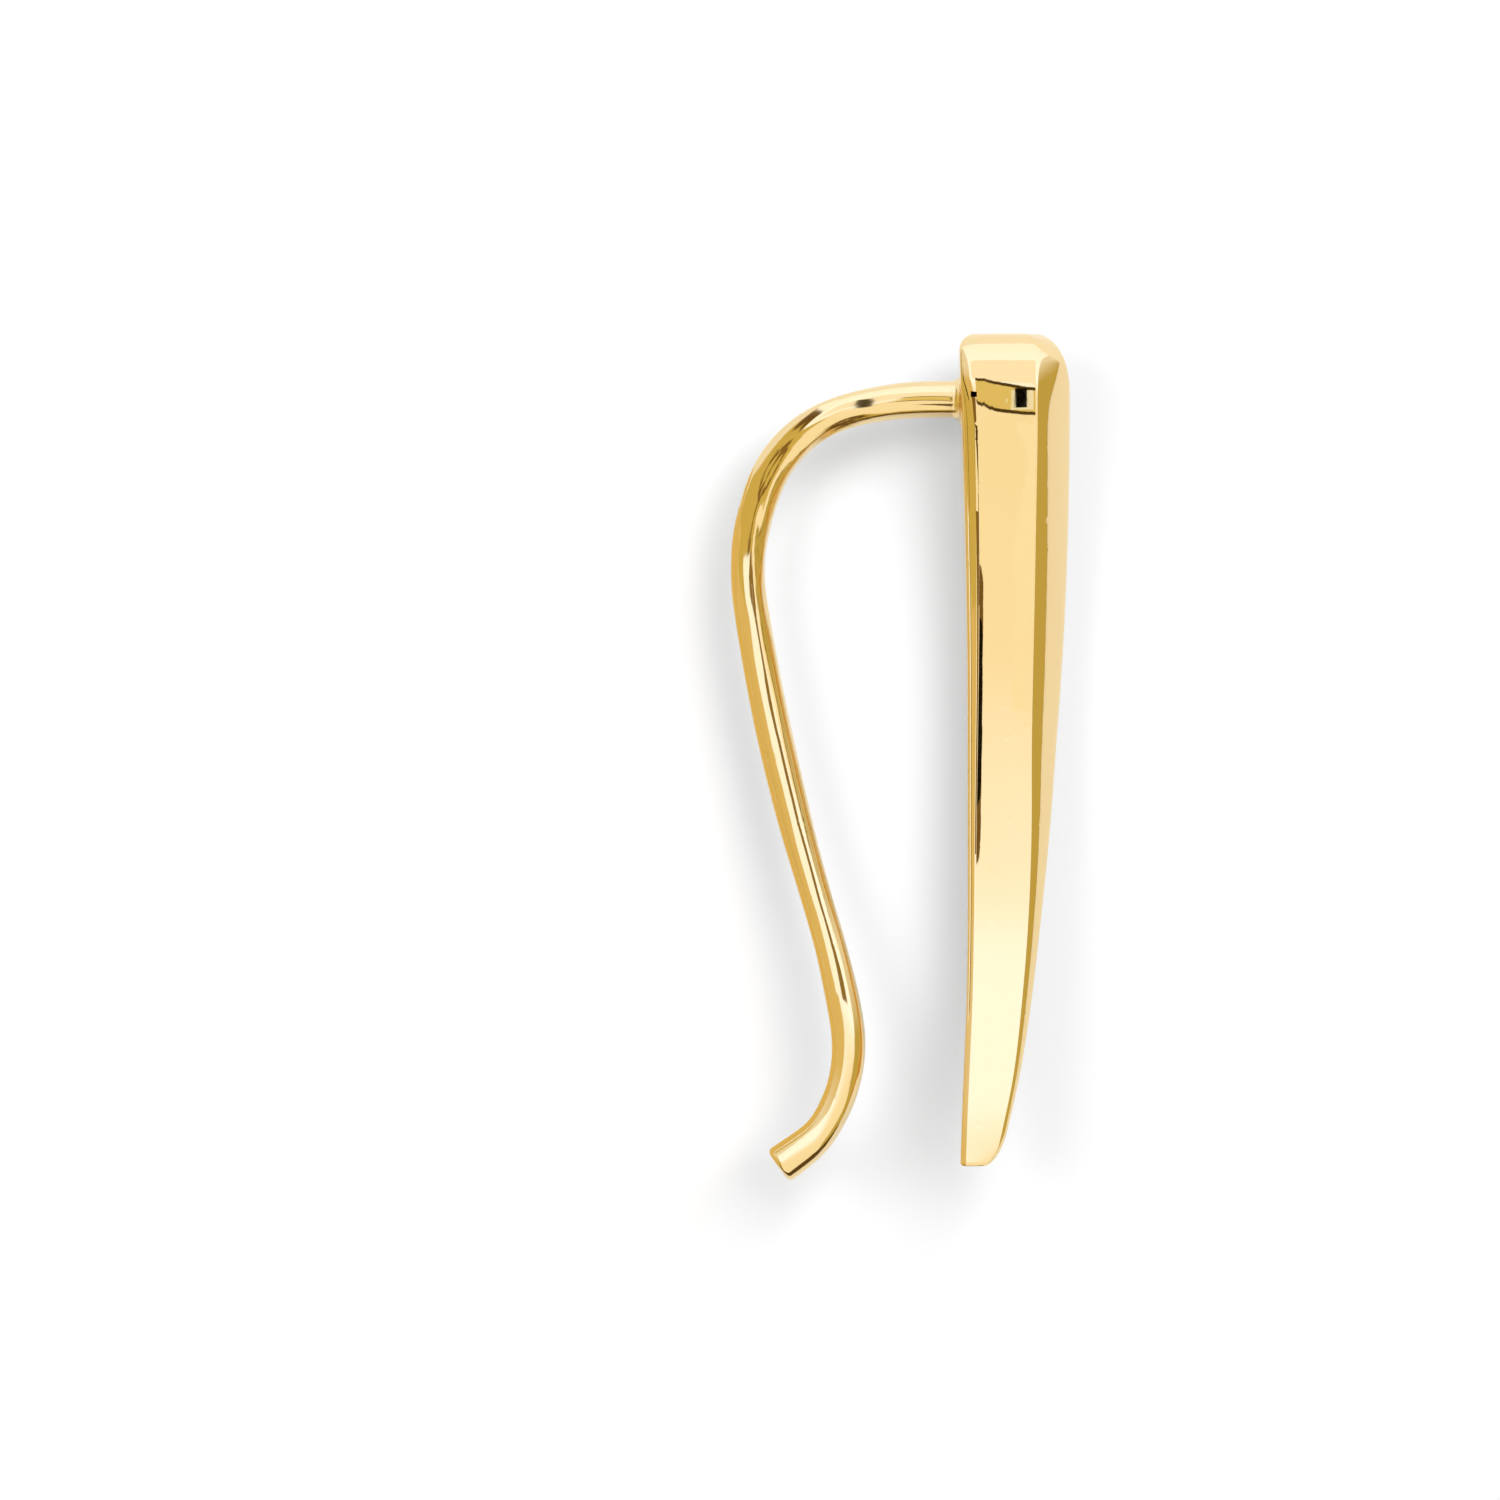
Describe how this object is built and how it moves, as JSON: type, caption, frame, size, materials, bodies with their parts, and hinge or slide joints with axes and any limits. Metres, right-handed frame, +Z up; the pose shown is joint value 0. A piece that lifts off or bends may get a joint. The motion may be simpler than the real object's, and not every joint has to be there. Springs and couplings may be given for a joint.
{
  "type": "ear climber",
  "caption": "Polished gold ear climber: a tapering tusk-shaped bar with a bent ear wire soldered to its back, worn up along the edge of the ear",
  "frame": {"origin": "middle of the climber's footprint, on the surface that the bar's belly rests on", "axes": "+X from the ear wire to the bar's front, +Y from the bar's tip to its cap, +Z up, out of the bar's hollow side"},
  "size_m": [0.0092, 0.0228, 0.004],
  "materials": {
    "gold": "high polish, solid 14 karat yellow gold"
  },
  "bodies": {
    "root": {"ear_climber": "gold"}
  },
  "joints": []
}
